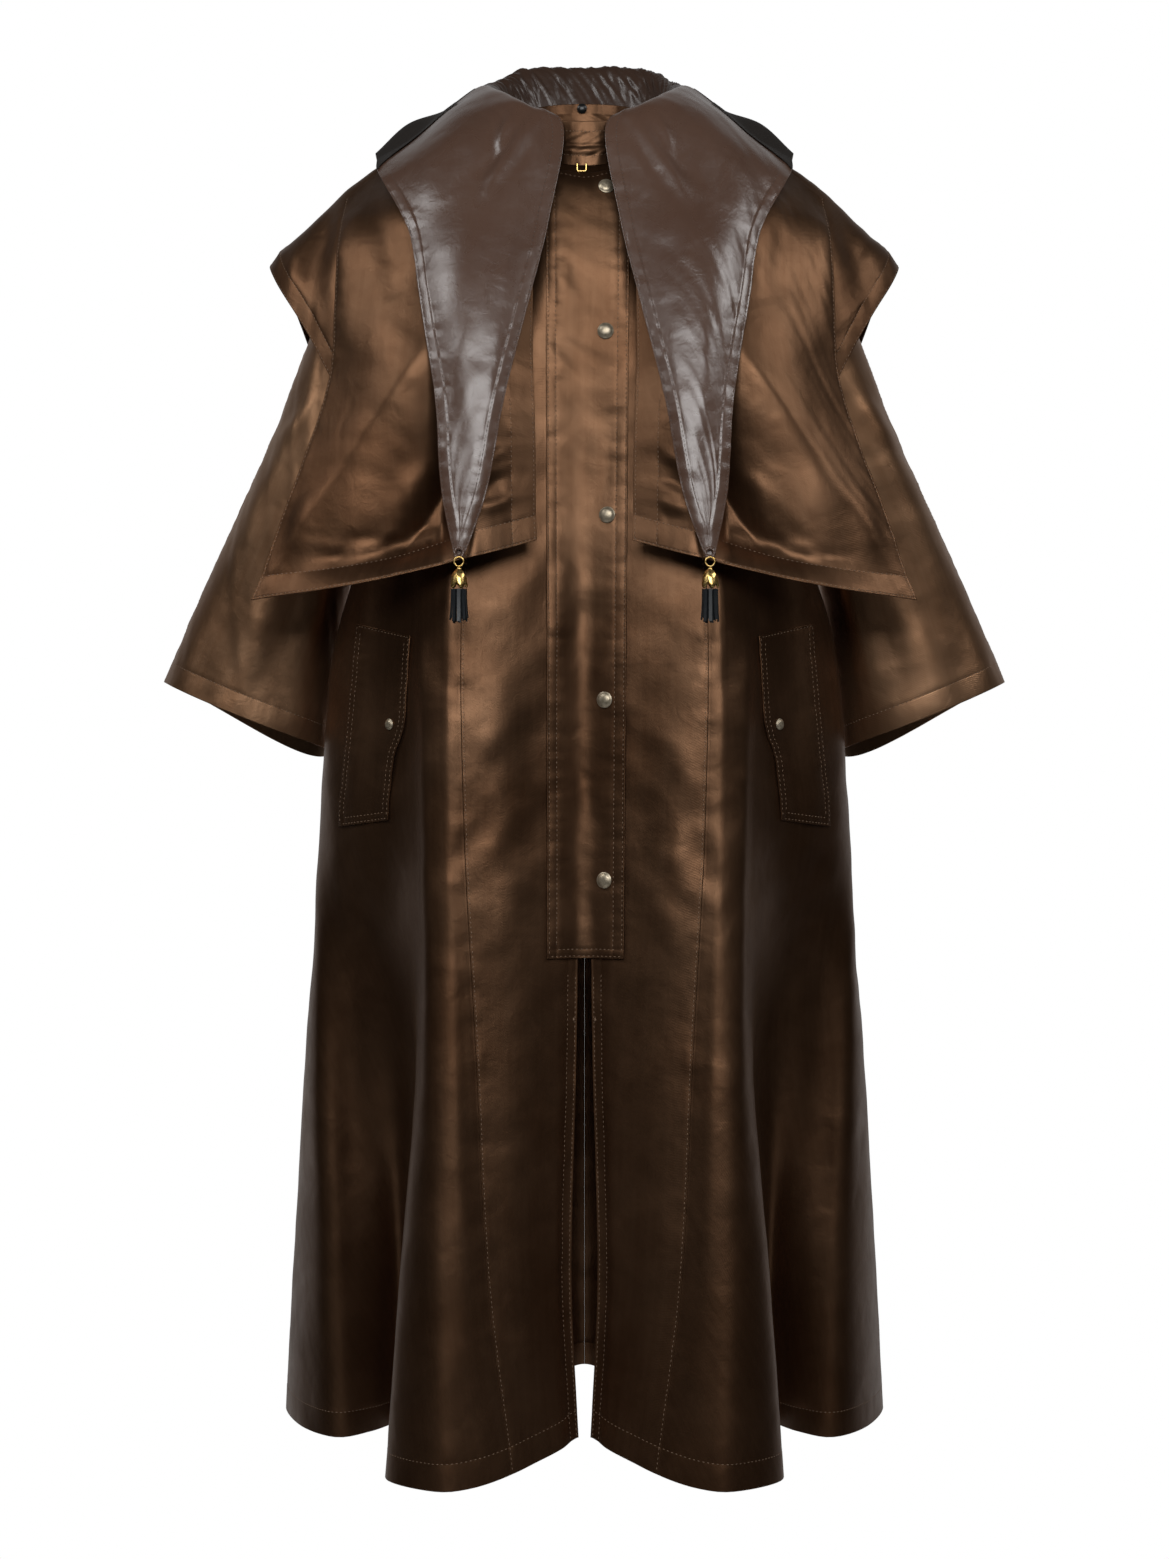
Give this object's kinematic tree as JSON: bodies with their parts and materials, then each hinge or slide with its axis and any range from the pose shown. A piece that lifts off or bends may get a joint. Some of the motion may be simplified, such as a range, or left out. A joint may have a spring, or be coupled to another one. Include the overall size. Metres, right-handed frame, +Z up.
{
  "type": "hooded cape coat",
  "caption": "Full-length hooded cape coat in worn shape: fallen hood with long pointed lapels ending in tassels, shoulder cape, wide sleeves, fly front.",
  "frame": {"origin": "middle of the neck and shoulder seat, where the wearer or a hanger holds the coat, level with the shoulder seams", "axes": "+Z up, the front faces -Y, +X is the wearer's left"},
  "size_m": [0.8084, 0.4868, 1.3295],
  "materials": {
    "satin": "coated satin with a soft sheen",
    "laminate": "glossy laminated cloth",
    "antique_brass": "antique brushed",
    "gold": "polished gold plate",
    "leather": "smooth black leather",
    "black_plastic": "semi-gloss"
  },
  "bodies": {
    "coat": {"front_right": "satin", "front_left": "satin", "side_yoke_right": "satin", "side_yoke_left": "satin", "side_front_right": "satin", "side_front_left": "satin", "back_right": "satin", "back_left": "satin", "sleeve_front_right": "satin", "sleeve_front_left": "satin", "sleeve_back_right": "satin", "sleeve_back_left": "satin", "cape_front_right": "satin", "cape_front_left": "satin", "pocket_flap_right": "satin", "pocket_flap_left": "satin", "placket": "satin", "collar": "satin", "cape_back": "satin", "hood_lapel_right": "laminate", "hood_lapel_left": "laminate", "hood_back": "laminate", "snap_1": "antique_brass", "snap_2": "antique_brass", "snap_3": "antique_brass", "snap_4": "antique_brass", "snap_5": "antique_brass", "pocket_snap_right": "antique_brass", "tassel_loop_right": "laminate", "pocket_snap_left": "antique_brass", "tassel_loop_left": "laminate", "collar_hook": "gold", "neck_snap": "black_plastic"},
    "tassel_right": {"tassel_ring_right": "gold", "tassel_cap_right": "gold", "tassel_fringe_right": "leather"},
    "tassel_left": {"tassel_ring_left": "gold", "tassel_cap_left": "gold", "tassel_fringe_left": "leather"}
  },
  "joints": [
    {"name": "tassel_right_swing", "type": "hinge", "parent": "coat", "child": "tassel_right", "pos_m": [-0.111, -0.195, -0.3823], "axis": [0, 1, 0], "range_deg": [-40, 40]},
    {"name": "tassel_left_swing", "type": "hinge", "parent": "coat", "child": "tassel_left", "pos_m": [0.111, -0.195, -0.3823], "axis": [0, 1, 0], "range_deg": [-40, 40]}
  ]
}
